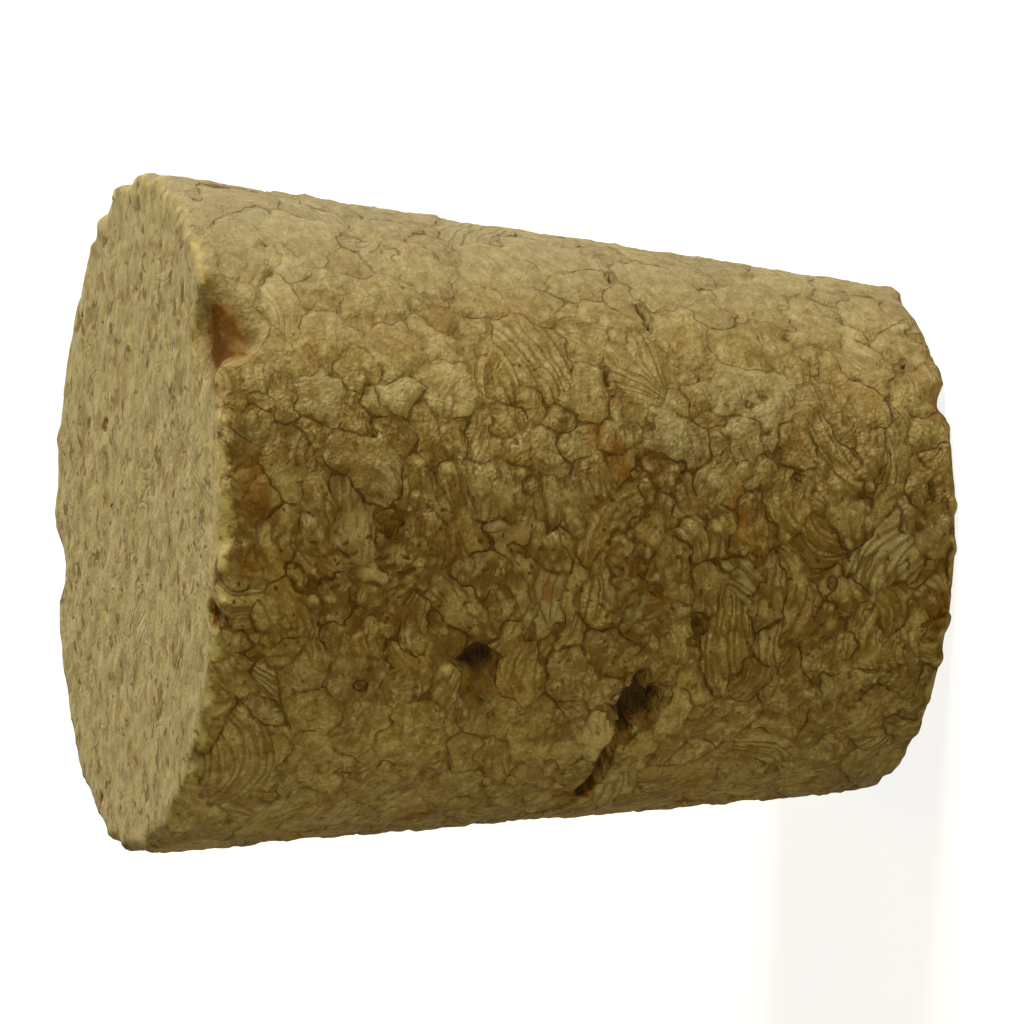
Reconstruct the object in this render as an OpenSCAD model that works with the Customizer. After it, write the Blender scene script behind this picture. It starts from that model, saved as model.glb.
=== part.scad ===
// Tapered stopper pressed from cork granules.
// It stands on its narrow end, with its axis along +Z and the origin at that end's centre.
// Its side is a closed net of six-sided granules with sunken joints.
// Where a granule has been torn out, its cell of the net is a void instead, and some hold a pit.

/* [Stopper] */
// Diameter of the wide end
wide_d = 27; // [18:0.5:60]
// Diameter of the narrow end
narrow_d = 20.4; // [14:0.1:50]
// Length along the axis
length = 31; // [20:0.5:60]
// Slope of the wide end, which is sawn a little out of square, in degrees
saw_slope = 1.2; // [0:0.1:3]

/* [Rims] */
// Radius worn on the rim of the wide end
wide_rim_r = 0.6; // [0.3:0.1:2]
// Radius worn on the rim of the narrow end
narrow_rim_r = 0.5; // [0.3:0.1:2.5]
// How far the worn rims stray from an even curve
rim_wear = 0.2; // [0:0.05:0.3]

/* [Granules] */
// Granules around the stopper
around = 24; // [12:1:25]
// Rows of granules from end to end
rows = 11; // [5:1:12]
// Share of a granule's size by which its corners stray
stray = 0.22; // [0:0.02:0.28]
// Width of the joint between two granules
joint_w = 0.35; // [0.2:0.05:0.8]
// Depth of the joint
joint_depth = 0.2; // [0.1:0.05:0.5]
// How far a granule's face stands proud or lies low
unevenness = 0.12; // [0:0.02:0.3]
// Height of the crown in the middle of a granule's face
crown = 0.08; // [0:0.02:0.2]

/* [Holes] */
// Depth of the voids and pits as a share of their true depth
void_depth = 1; // [0.5:0.1:1.2]
// Share of a void's mouth that its floor keeps
void_floor = 0.65; // [0.4:0.05:0.8]
// Depth of the chips in the rims as a share of their true depth
chip_depth = 1; // [0.5:0.1:1.2]

/* [Hidden] */

// Holes: [angle, share of the length from the narrow end, long, wide, deep, lean].
// A lean of 0 runs the hole around the stopper, and 90 runs it along.
// Voids are where a whole granule has been torn out, and pits lie inside a granule's face.
voids = [
    [-120, 0.645, 3.2, 1.6, 1.3, 6],
    [-126, 0.420, 2.2, 1.9, 1.4, 20],
    [-146, 0.434, 4.0, 0.9, 1.2, 170],
    [62, 0.550, 2.6, 1.8, 1.1, 35],
    [118, 0.300, 3.0, 1.4, 1.0, 70],
];
pits = [
    [-90, 0.776, 1.4, 1.0, 0.6, 30],
    [-60, 0.475, 1.3, 0.5, 0.5, 0],
    [-42, 0.405, 1.2, 0.6, 0.6, 10],
    [-107, 0.345, 1.2, 0.7, 0.6, 30],
    [-129, 0.148, 0.9, 0.7, 0.5, 60],
    [-132, 0.902, 1.1, 0.5, 0.5, 0],
    [15, 0.800, 1.6, 1.1, 0.8, 20],
    [85, 0.780, 0.9, 0.7, 0.5, 0],
    [150, 0.740, 1.3, 0.9, 0.7, 80],
    [160, 0.250, 1.1, 0.8, 0.6, 40],
    [30, 0.240, 1.2, 0.6, 0.5, 60],
];
// Chips broken from the rims: [angle, share of the length, long around the rim, wide, deep].
chips = [
    [-57, 0.975, 4.6, 3.6, 0.9],
    [-107, 0.995, 1.8, 1.8, 0.5],
    [100, 1.000, 3.0, 2.0, 0.5],
    [-57, 0.000, 1.8, 1.6, 0.4],
    [170, 0.000, 2.6, 2.4, 0.5],
];

columns = 2 * around;          // corners on each line of the net
side = 2 * columns;            // places on a line: each corner, then the middle of a slanting joint
pitch = 360 / columns;         // angle from one corner to the next
row_h = (length - wide_rim_r - narrow_rim_r) / rows;
zigzag = 1 / 6;                // rise of a line's corners as a share of row_h, for even hexagons
end_calm = 0.5;                // share of the stray that the first and last line keep
corner_width = 1.7;            // a joint is this much wider where it meets two others
inset_limit = 0.5;             // share of a granule's reach that its face keeps at least
arc_share = 0.3;               // height of a rim's middle ring as a share of the rim's radius
joint_fade = [0.6, 0.8];       // share of a joint's depth left at the end and at the middle ring
depth_range = [0.4, 1];        // shares of joint_depth to which joints are sunk
wear_reach = 3;                // places on each side over which a rim's wear is evened out
ring_places = 12;              // places on the joint round one granule
floor_dip = 1.12;              // depth in the middle of a void's floor as a share of the floor's
shift_reach = 6;               // distance over which the cells shift to bring a void to its place

turn_of = rands(-1, 1, side * (rows + 1), 11);
rise_of = rands(-1, 1, side * (rows + 1), 23);
depth_of = rands(depth_range[0], depth_range[1], side * (rows + 1), 53);
bow_of = rands(-1, 1, around * rows, 41);
proud_of = rands(-1, 1, around * rows, 67);
wear_of = rands(-1, 1, side, 79);

function wrap(n, count) = (n % count + count) % count;
function sum(v, i = 0) = i < len(v) ? v[i] + sum(v, i + 1) : 0;
function mean(v) = sum(v) / len(v);

// Radius of the skin at height h: the taper, less what the worn rims take off it.
function taper_r(h) = narrow_d / 2 + (wide_d - narrow_d) / 2 * h / length;
function rim_cut(depth, r) = depth >= r ? 0 : r - sqrt(r * r - pow(r - depth, 2));
function skin_r(h) = taper_r(h) - rim_cut(h, narrow_rim_r) - rim_cut(length - h, wide_rim_r);

// Millimetres along the skin from one angle and height to another, as [around, along].
function turned(a) = a - 360 * round(a / 360);
function apart(from, to) =
    [PI / 180 * taper_r(from[1]) * turned(to[0] - from[0]), to[1] - from[1]];

// A smooth dent of depth 1 in the middle and 0 at its edge.
function dent(share) = pow(1 - min(share * share, 1), 2);
function chipped(p) = chip_depth * sum([
    for (c = chips)
        let (d = apart([c[0], c[1] * length], p))
        c[4] * dent(norm([d[0] / c[2], d[1] / c[3]]) * 2)
]);

// A place on the net is [angle, height, how far it lies below the skin].
// The saw's slope stretches the heights on one side of the stopper and shrinks them on the other.
function xyz(p) =
    let (r = skin_r(p[1]) - p[2] - chipped(p), x = r * cos(p[0]))
    [x, r * sin(p[0]), p[1] * (1 + tan(saw_slope) * x / length)];

// Granule q of row j, before anything moves it, and the granule whose cell a hole takes.
function cell_middle(j, q) = [pitch * (2 * q + j % 2), narrow_rim_r + (j + 1 / 2) * row_h];
function hole_cell(hole) =
    let (
        j = min(max(round((hole[1] * length - narrow_rim_r) / row_h - 1 / 2), 1), rows - 2),
        q = round((hole[0] / pitch - j % 2) / 2)
    )
    [j, wrap(q, around)];
holes = concat(voids, pits);
hole_cells = [for (hole = holes) hole_cell(hole)];
hole_middles = [for (hole = holes) [hole[0], hole[1] * length]];
cell_middles = [for (c = hole_cells) cell_middle(c[0], c[1])];

// The cells round each hole shift together, so that one of them lies where the hole is.
function shifted(p) =
    let (
        pull = [for (m = cell_middles) dent(norm(apart(m, p)) / shift_reach)],
        share = 1 / max(sum(pull), 1),
        off = [for (n = [0 : len(holes) - 1]) hole_middles[n] - cell_middles[n]],
        turn = sum([for (n = [0 : len(holes) - 1]) pull[n] * share * turned(off[n][0])]),
        rise = sum([for (n = [0 : len(holes) - 1]) pull[n] * share * off[n][1]])
    )
    p + [turn, rise, 0];

// Line j of the net: corners at even places, and the middles of its slanting joints at odd ones.
function is_end(j) = j == 0 || j == rows;
function corner(j, m) =
    let (
        i = line_index(j, m),
        points_down = (m / 2 + j) % 2 == 0,
        meets_post = j == 0 ? !points_down : j < rows || points_down,
        turn = 2 * stray * turn_of[i] * (is_end(j) ? end_calm : 1),
        rise = is_end(j) ? 0 : (points_down ? -zigzag : zigzag) + stray * rise_of[i],
        below = meets_post ? joint_depth * depth_of[i] : 0
    )
    [pitch * (m / 2 + turn), narrow_rim_r + (j + rise) * row_h, below];
function slant(j, m) =
    let (
        mid = (corner(j, m - 1) + corner(j, m + 1)) / 2,
        bow = stray / 2 * rise_of[line_index(j, m)]
    )
    is_end(j) ? [mid[0], mid[1], 0] : mid + [0, bow * row_h, 0];
function line_place(j, m) =
    let (p = m % 2 == 0 ? corner(j, m) : slant(j, m))
    is_end(j) ? p : shifted(p);

// Granule q of row j has its middle at this place of the lines below and above it.
function middle_place(j, q) = 2 * (2 * q + j % 2);

// Post q of row j is the middle of the upright joint on the granule's left.
function post(j, q) =
    let (m = middle_place(j, q) - 2, bow = stray * bow_of[j * around + q])
    shifted((corner(j, m) + corner(j + 1, m)) / 2 + [bow * pitch, 0, 0]);

// Order of the net's places: the lines, the posts, the faces, then the four rings of the rims.
first_post = side * (rows + 1);
first_face = first_post + around * rows;
first_rim = first_face + (ring_places + 1) * around * rows;
function line_index(j, m) = j * side + wrap(m, side);
function post_index(j, q) = first_post + j * around + wrap(q, around);
function on_end_line(i) = i < side || (i >= rows * side && i < first_post);

// The joint round a granule, anticlockwise from its lower left corner: corners are the even places.
function joint_indices(j, q) =
    let (m = middle_place(j, q))
    concat(
        [for (n = [-2 : 2]) line_index(j, m + n)],
        [post_index(j, q + 1)],
        [for (n = [2 : -1 : -2]) line_index(j + 1, m + n)],
        [post_index(j, q)]
    );
even_joints = concat(
    [for (j = [0 : rows], m = [0 : side - 1]) line_place(j, m)],
    [for (j = [0 : rows - 1], q = [0 : around - 1]) post(j, q)]
);

// The mouth of hole n, an ellipse with one place for each place of the joint round its cell.
function mouth(n) = [
    for (i = joint_indices(hole_cells[n][0], hole_cells[n][1]))
        let (
            hole = holes[n],
            away = apart(hole_middles[n], even_joints[i]),
            t = atan2(away[1], away[0]) - hole[5],
            reach = [hole[2] / 2 * cos(t), hole[3] / 2 * sin(t)],
            around_by = reach[0] * cos(hole[5]) - reach[1] * sin(hole[5]),
            along_by = reach[0] * sin(hole[5]) + reach[1] * cos(hole[5]),
            height = hole_middles[n][1] + along_by
        )
        [hole[0] + around_by * 180 / PI / taper_r(height), height, even_joints[i][2]]
];

// The joint round a void moves out or in to the void's mouth, but the first and last line stay.
moved = [
    for (n = [0 : len(voids) - 1])
        let (indices = joint_indices(hole_cells[n][0], hole_cells[n][1]), places = mouth(n))
        each [for (i = [0 : ring_places - 1]) if (!on_end_line(indices[i])) [indices[i], places[i]]]
];
moved_indices = [for (m = moved) m[0]];
joints = [
    for (i = [0 : len(even_joints) - 1])
        let (hit = search(i, moved_indices))
        len(hit) > 0 ? moved[hit[0]][1] : even_joints[i]
];

// Twelve places round a face and one in its middle, inside the joint.
// A void's floor is a smaller copy of its mouth, a pit is a funnel, and any other face has a crown.
function ring_round(j, q) =
    let (turn = cell_middle(j, q)[0])
    [for (i = joint_indices(j, q)) [turn + turned(joints[i][0] - turn), joints[i][1]]];
function ring_middle(ring) = [mean([for (p = ring) p[0]]), mean([for (p = ring) p[1]])];
function ring_inside(ring, middle, keeps, below) = [
    for (i = [0 : ring_places - 1])
        [each (middle + (ring[i] - middle) * keeps[i]), below]
];
function void_places(j, q, hole) =
    let (ring = ring_round(j, q), middle = ring_middle(ring), deep = void_depth * hole[4])
    concat(
        ring_inside(ring, middle, [for (p = ring) void_floor], deep),
        [[each middle, floor_dip * deep]]
    );
function pit_places(n) = concat(
    [for (p = mouth(n)) [p[0], p[1], 0]],
    [[each hole_middles[n], void_depth * holes[n][4]]]
);
function granule_places(j, q) =
    let (
        ring = ring_round(j, q),
        middle = ring_middle(ring),
        below = -unevenness * proud_of[j * around + q],
        keeps = [
            for (i = [0 : ring_places - 1])
                let (inset = joint_w / 2 * (i % 2 == 0 ? corner_width : 1))
                max(1 - inset / norm(apart(middle, ring[i])), inset_limit)
        ]
    )
    concat(ring_inside(ring, middle, keeps, below), [[each middle, below - crown]]);
function face_places(j, q) =
    let (taken = search([[j, q]], hole_cells)[0])
    !is_num(taken) ? granule_places(j, q)
        : taken < len(voids) ? void_places(j, q, holes[taken])
        : pit_places(taken);

// A ring of a worn rim, at height h, beyond line j of the net.
function wear(m) =
    let (near = [for (n = [-wear_reach : wear_reach]) wear_of[wrap(m + n, side)]])
    rim_wear * mean(near) * sqrt(len(near));
function rim_ring(j, h, fade) = [
    for (m = [0 : side - 1])
        let (p = joints[line_index(j, m)])
        [p[0], h, p[2] * fade + wear(m) * (1 - fade)]
];

function granule_facets(j, q) =
    let (
        joint = joint_indices(j, q),
        face = first_face + (ring_places + 1) * (j * around + q),
        crown_place = face + ring_places
    )
    [
        for (i = [0 : ring_places - 1])
            let (n = (i + 1) % ring_places)
            each [
                [joint[i], face + i, face + n],
                [joint[i], face + n, joint[n]],
                [face + n, face + i, crown_place]
            ]
    ];
function band_facets(low, high) = [
    for (m = [0 : side - 1])
        let (n = (m + 1) % side)
        each [[low + m, high + m, high + n], [low + m, high + n, low + n]]
];

module net() {
    places = concat(
        joints,
        [for (j = [0 : rows - 1], q = [0 : around - 1]) each face_places(j, q)],
        rim_ring(0, 0, joint_fade[0]),
        rim_ring(0, arc_share * narrow_rim_r, joint_fade[1]),
        rim_ring(rows, length - arc_share * wide_rim_r, joint_fade[1]),
        rim_ring(rows, length, joint_fade[0])
    );
    narrow_end = first_rim;
    wide_end = first_rim + 3 * side;
    facets = concat(
        [for (j = [0 : rows - 1], q = [0 : around - 1]) each granule_facets(j, q)],
        band_facets(narrow_end, narrow_end + side),
        band_facets(narrow_end + side, 0),
        band_facets(rows * side, wide_end - side),
        band_facets(wide_end - side, wide_end),
        [[for (m = [0 : side - 1]) narrow_end + m]],
        [[for (m = [side - 1 : -1 : 0]) wide_end + m]]
    );
    polyhedron([for (p = places) xyz(p)], facets);
}

module stopper() {
    color([0.61, 0.53, 0.34]) net();
}

stopper();
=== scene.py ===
import math

import bpy
import numpy as np
from mathutils import Matrix, Vector
from mathutils.geometry import delaunay_2d_cdt
from mathutils.kdtree import KDTree


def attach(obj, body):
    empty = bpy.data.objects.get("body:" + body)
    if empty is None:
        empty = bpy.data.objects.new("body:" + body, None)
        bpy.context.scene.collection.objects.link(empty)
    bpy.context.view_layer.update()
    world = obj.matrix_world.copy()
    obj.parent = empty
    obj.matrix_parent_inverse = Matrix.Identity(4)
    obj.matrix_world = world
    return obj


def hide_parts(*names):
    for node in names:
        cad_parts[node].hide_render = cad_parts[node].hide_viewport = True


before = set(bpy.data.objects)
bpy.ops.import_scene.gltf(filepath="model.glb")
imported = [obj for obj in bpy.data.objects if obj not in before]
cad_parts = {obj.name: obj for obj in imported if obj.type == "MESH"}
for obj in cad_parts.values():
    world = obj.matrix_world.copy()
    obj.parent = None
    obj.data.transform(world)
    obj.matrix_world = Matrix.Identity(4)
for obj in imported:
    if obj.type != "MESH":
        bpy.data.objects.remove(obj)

# A tapered stopper of pressed cork granules. Lengths are in mm up to the last step, which makes
# the mesh in metres. Places on the side are (angle round the axis in degrees, height in mm).

# --- The stopper's form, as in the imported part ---
LENGTH = 31.0
WIDE_R = 13.5
NARROW_R = 10.2
WIDE_RIM = 0.6
NARROW_RIM = 0.5
SAW_SLOPE = math.tan(math.radians(1.2))
SIDE_OUT = (0.994, -0.106)  # the side's outward way: from the axis, and along it

# --- The net of the skin ---
AROUND = 384  # points in each row round the side
STEP = 0.178  # from one row to the next
FACE_STEP = 0.205  # from one point to the next on the flat ends
FACE_ROW = 0.866  # from one row to the next there, as a share of that
FACE_GAP = 0.6  # kept free inside the rim, as a share of that

# --- Granules that aren't listed, coarse to fine: half size in mm, tries, share kept ---
FILLS = ((1.25, 1500, 1.0), (0.95, 2500, 1.0), (0.7, 3500, 1.0), (0.45, 3000, 0.5))
SIDE_SHARE = 0.72  # of the tries, those that fall on the side
WIDE_SHARE = 0.64  # of the others, those that fall on the wide end
CLOSEST = 0.82  # kept free round a granule, as a share of its half size
SIDE_LEAN = (15, 40)  # mean lean on the side and its spread, in degrees

# --- Heights in mm ---
BENDS = ((0.17, 2.1), (0.07, 0.7))  # how far the outlines wander, at which wave
GROOVE = 0.085  # depth of the joints
SWELL, SWELL_REACH = 0.035, 0.5  # how a granule rises from its outline
TILT = 0.09  # of the granules' faces, from least to most
WEAR = ((0.10, 2.3), (0.03, 1.1))  # how far the rims stray, at which wave
RIM_REACH = 1.2  # from an end, where its rim's wear begins
END_CALM, END_WEAR = 0.45, 0.2  # shares of the relief and the wear on the flat ends

# --- Granules: angle, height, long, wide, lean (0 = round the axis, 90 = along it),
# --- stripes (0..1), light (-1..1), grey (0..1), lift in mm, form if not bent (1 fan, 2 rings) ---
GRANULES = [
    # upper part of the side, wide end to narrow end
    (-36, 29, 2.6, 1.9, 20, 0.3, 0.3, 0, 0), (-31, 26.2, 2.4, 2.6, 40, 0.2, 0.4, 0, 0.02),
    (-47, 26.4, 1.7, 1.6, 0, 0.2, 0.1, 0, 0), (-57.5, 26, 1.7, 1.7, 0, 0.2, 0.5, 0, 0.05),
    (-61, 28.2, 2.1, 1.4, 70, 0.2, 0.3, 0, 0.04), (-48, 23.9, 2.1, 2, 10, 0.2, 0.2, 0, 0),
    (-58, 23.3, 1.9, 1.8, 60, 0.1, 0.6, 0, 0.08), (-66.5, 23.2, 1.5, 0.6, 130, 0, 0.8, 0.1, 0.08),
    (-38, 21.3, 2.7, 2.1, 0, 0.1, 0.4, 0, 0.1), (-49.5, 21.3, 1.3, 1, 20, 0.2, -0.5, 0, -0.06),
    (-53, 19.9, 1.5, 1.4, 0, 0.3, 0.1, 0, 0), (-33, 18.2, 3.6, 2.4, 25, 0.5, 0.3, 0, 0),
    (-56.5, 17.9, 3.3, 2.2, 29, 1, 0.2, 0, 0.05), (-43, 17.3, 2.3, 1.8, 40, 0.4, 0, 0, 0),
    (-52, 15.4, 2, 1.7, 60, 0.3, 0.1, 0, 0.03), (-63.5, 15.5, 2.3, 1.9, 10, 0.1, 0.5, 0.1, 0.05),
    (-67, 14.4, 1.8, 0.8, 15, 0.1, 0.4, 0.4, 0.03), (-24, 15.6, 3.2, 2.6, 30, 0.3, 0.4, 0, 0),
    (-36, 14.6, 2, 1.9, 0, 0.2, 0.3, 0, 0), (-45, 13.9, 2, 1.7, 0, 0.2, 0.3, 0, 0.04),
    (-57.6, 13.5, 3.2, 2.7, 47, 1, 0.3, 0, 0.03, 1),
    (-64.5, 11.9, 1.5, 0.8, 60, 0, 0.3, 0.1, -0.02),
    (-58.5, 11.2, 1.2, 0.9, 30, 0.1, 0.1, 0, -0.02), (-71.5, 12.1, 2.7, 1.9, 20, 0, 0.1, 0.7, 0.02),
    (-30, 11.6, 2.9, 2.3, 20, 0.3, 0.4, 0, 0), (-47, 11.1, 2.3, 1.6, 0, 0.3, 0.1, 0, 0),
    (-61, 10.9, 2, 1, 20, 0.2, 0.1, 0, -0.03), (-49.5, 8.7, 2, 1.7, 0, 0.4, 0, 0, 0, 2),
    (-61.5, 8.7, 3.1, 2.4, 0, 0.2, 0.4, 0.5, 0.05), (-71, 9.2, 1.9, 1.4, 10, 0.1, 0.3, 0.6, 0.03),
    (-48, 6.9, 2.6, 1.3, 10, 0.5, 0.1, 0, 0), (-33, 7.2, 2.6, 2.5, 10, 0.2, 0.4, 0, 0),
    (-39.5, 4.7, 2.5, 1.5, 55, 0.1, 0.5, 0, 0.03), (-49.5, 3.3, 2.2, 1.6, 60, 0.1, 0.5, 0, 0.05),
    (-30, 2.6, 2.4, 1.8, 10, 0.3, 0.4, 0, 0), (-42, 1.6, 2.4, 1.5, 0, 0.2, 0.3, 0.1, 0),
    (-55, 1.2, 1.9, 1.3, 0, 0.4, 0.3, 0.1, 0.02), (-68.5, 5.4, 2.9, 0.9, 25, 1, 0.2, 0, 0),
    (-69.5, 3.6, 1.6, 1, 0, 0, 0.5, 0, 0.05), (-72.5, 2.6, 2.9, 1, 0, 0.9, 0.3, 0.1, 0),
    (-78.5, 1.8, 1.7, 1.2, 10, 0.3, 0.2, 0.1, 0.05),
    # crumbly band under the wide rim, then the middle of the side
    (-66, 29.6, 1, 0.9, 0, 0.1, 0, 0.1, 0), (-70, 28.3, 1, 0.8, 40, 0.1, -0.2, 0.2, 0.02),
    (-74, 29.8, 0.9, 0.8, 0, 0.1, -0.4, 0.3, -0.03), (-79, 30.3, 1.1, 0.7, 60, 0, -0.6, 0.3, -0.08),
    (-74, 26.9, 1.1, 0.8, 20, 0.1, -0.1, 0, 0), (-71, 25.3, 1.3, 1, 0, 0.3, 0.1, 0, 0.03),
    (-80, 25, 1.9, 1.6, 90, 0.1, 0.1, 0.6, 0.05), (-81, 28.2, 1.5, 1.2, 10, 0.1, -0.3, 0.2, -0.03),
    (-87, 29.9, 1.7, 1.1, 10, 0.2, -0.1, 0.1, 0), (-91, 25.8, 2.9, 1, 0, 0.6, 0.2, 0.6, 0.05),
    (-91, 27, 2.9, 1, 0, 0.3, 0.1, 0.1, 0.05), (-95, 28.8, 1.9, 1.3, 10, 0.3, -0.1, 0, 0),
    (-97, 30.5, 1.6, 0.9, 0, 0.1, 0.3, 0.1, 0.04), (-75, 22, 2.2, 1.6, 20, 0.3, 0.1, 0, 0),
    (-83.5, 22.9, 1.6, 1.3, 0, 0.2, -0.1, 0.1, 0), (-86, 21.2, 4, 1.1, 18, 0.9, -0.4, 0, -0.03),
    (-83, 19.8, 2.4, 1.8, 5, 0.2, 0.2, 0.2, 0.06), (-66, 18, 1.1, 0.9, 0, 0.1, 0, 0, 0),
    (-70, 17, 0.9, 0.8, 30, 0.1, 0, 0, 0), (-70.5, 19.2, 1, 0.8, 60, 0.1, 0, 0, 0),
    (-76.7, 17.4, 1.3, 0.9, 90, 0.1, 0.5, 0, 0.04), (-80.5, 16, 1.8, 1.5, 10, 0.4, 0, 0, 0),
    (-87, 17.4, 2.3, 0.7, 5, 0.7, 0.1, 0.4, 0.02), (-86, 18.3, 1.9, 0.7, 20, 0.4, -0.2, 0, 0),
    (-86.5, 14.7, 3.6, 1, 141, 0.8, 0.1, 0, 0), (-88.5, 13.4, 1.9, 1.3, 141, 0.2, 0.1, 0.1, 0.05),
    (-79, 12.7, 1.5, 1.2, 0, 0.2, -0.2, 0.1, 0), (-83.5, 11.7, 1.6, 1.3, 30, 0.3, 0, 0.1, 0),
    (-77, 8.7, 1.6, 0.8, 0, 0.4, 0.2, 0.1, 0.02), (-88, 8.9, 1.9, 1.7, 0, 0.2, 0, 0, 0.04),
    (-84, 7.3, 1.9, 1.5, 10, 0.3, 0, 0, 0), (-80.5, 5.6, 1.7, 1.2, 60, 0.2, 0.1, 0.1, 0.03),
    (-86, 4.9, 1.5, 1.3, 0, 0.1, 0, 0.1, 0), (-83, 3.3, 2.2, 0.6, 150, 0.7, 0.2, 0, 0.02),
    (-84.5, 2.1, 1.9, 1.3, 0, 0.2, 0.1, 0.2, 0), (-89, 0.9, 1.8, 1.2, 0, 0.3, 0, 0.4, 0),
    # lower part of the side
    (-98, 20.1, 1.8, 1.6, 0, 0.2, 0.1, 0.1, 0.02), (-101, 18.4, 2.2, 0.9, 15, 0.1, 0.5, 0, 0.04),
    (-104, 17.3, 3.2, 1.4, 0, 0.2, 0.3, 0.9, 0.02), (-105.5, 16.3, 3, 0.8, 0, 0.3, 0.5, 0.1, 0.02),
    (-103.5, 15, 2.1, 1.4, 0, 0.1, -0.1, 0, 0), (-104, 19.5, 1.5, 1.1, 20, 0.1, 0.2, 0, 0),
    (-112, 14.6, 2, 1.5, 30, 0.2, -0.1, 0.1, 0), (-118, 18.1, 3.2, 1.6, 5, 0.8, 0.1, 0.1, 0),
    (-118.5, 16.2, 2.1, 1.6, 0, 0.3, 0.2, 0, 0.03), (-123, 14.6, 1.2, 0.9, 0, 0.1, 0.5, 0, 0.05),
    (-133.5, 14.2, 2.6, 1, 5, 0.2, 0.8, 0, 0.08), (-133, 16.8, 3, 1.6, 10, 0.4, 0.1, 0, 0),
    (-138, 19.5, 2.8, 1.1, 10, 0.4, 0.3, 0, 0.05), (-141, 18, 3.4, 1.1, 20, 0.8, 0, 0, 0),
    (-130, 11.2, 2, 1.2, 0, 0.3, 0.6, 0, 0.05), (-139, 12.5, 2.3, 1.2, 0, 0.2, 0.1, 0, 0),
    (-141, 9.8, 2.1, 1.1, 5, 0.2, 0.4, 0, 0.03), (-113.5, 9.6, 4.3, 1.2, 12, 1, 0.1, 0, 0),
    (-101.5, 10.4, 2, 1.2, 10, 0.4, 0.2, 0, 0), (-103, 8, 2.4, 1, 5, 0.3, -0.3, 0.4, -0.03),
    (-104, 6.9, 2.6, 1.1, 0, 0.3, 0.1, 0, 0), (-97, 11.9, 1.8, 1.3, 0, 0.1, 0.2, 0.1, 0),
    (-115, 12.1, 2, 1.6, 0, 0.2, 0.1, 0, 0), (-115, 5.2, 2.3, 1.4, 0, 0.3, 0.1, 0, 0),
    (-121.5, 3.6, 1, 1.2, 0, 0, 0.6, 0, 0.05), (-113, 3.7, 2.6, 1.1, 5, 0.7, 0.1, 0, 0),
    (-136, 4.7, 2.9, 1.3, 10, 0.2, -0.2, 0, 0), (-130, 2.4, 2, 1.3, 0, 0.2, 0.4, 0, 0.02),
    (-98, 1.6, 0.6, 1.2, 95, 0.2, 0.5, 0, 0.04), (-101.5, 0.9, 1.7, 1.1, 40, 0.8, 0.2, 0.2, 0),
    (-110, 1.4, 2, 1, 0, 0.3, 0.2, 0.1, 0), (-106, 28, 1.9, 1.5, 30, 0.3, 0.1, 0, 0),
    (-112, 27.8, 1.2, 1, 90, 0.1, 0.4, 0.1, 0.04), (-110, 24.8, 2.2, 1.7, 10, 0.3, 0, 0, 0),
    (-103, 25.9, 1.5, 1.1, 30, 0.4, 0.1, 0, 0), (-127.5, 24.4, 2.6, 1.5, 0, 0.2, 0.3, 0, 0.04),
    (-118, 22.7, 1.9, 1.4, 20, 0.4, 0, 0, 0), (-124.5, 26.5, 2.2, 1.4, 20, 0.5, 0, 0, 0),
    (-136, 28.9, 5.2, 2.6, 6, 1, 0.1, 0.2, 0), (-118, 30.1, 1.7, 1.1, 50, 0.2, 0.2, 0.1, 0.02),
    (-111, 30.6, 1.3, 0.8, 0, 0.1, 0.2, 0, 0),
]

# --- Torn holes: angle, height, long, wide, deep, lean. They are the part's own voids, and each
# --- is made here of a floor and of darker gaps in it ---
VOIDS = [
    (-120.8, 19.9, 2.7, 1.6, 0.45, 5), (-115, 19.95, 2, 1.2, 1.5, 75),
    (-126.5, 12.9, 2.7, 1.9, 0.95, 0), (-127, 12.15, 1.7, 0.5, 1.45, 170),
    (-126.4, 14.1, 0.9, 0.4, 1.1, 90), (-132.5, 13.1, 1.5, 0.8, 1.3, 10),
    (-139.5, 13.5, 2.2, 0.5, 0.9, 175), (-146.5, 13.5, 3.4, 0.6, 1.4, 172),
    (-154, 13.9, 1.9, 0.6, 1.1, 170), (62, 17.05, 2.6, 1.8, 1.1, 35), (118, 9.3, 3, 1.4, 1, 70),
]

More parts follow.
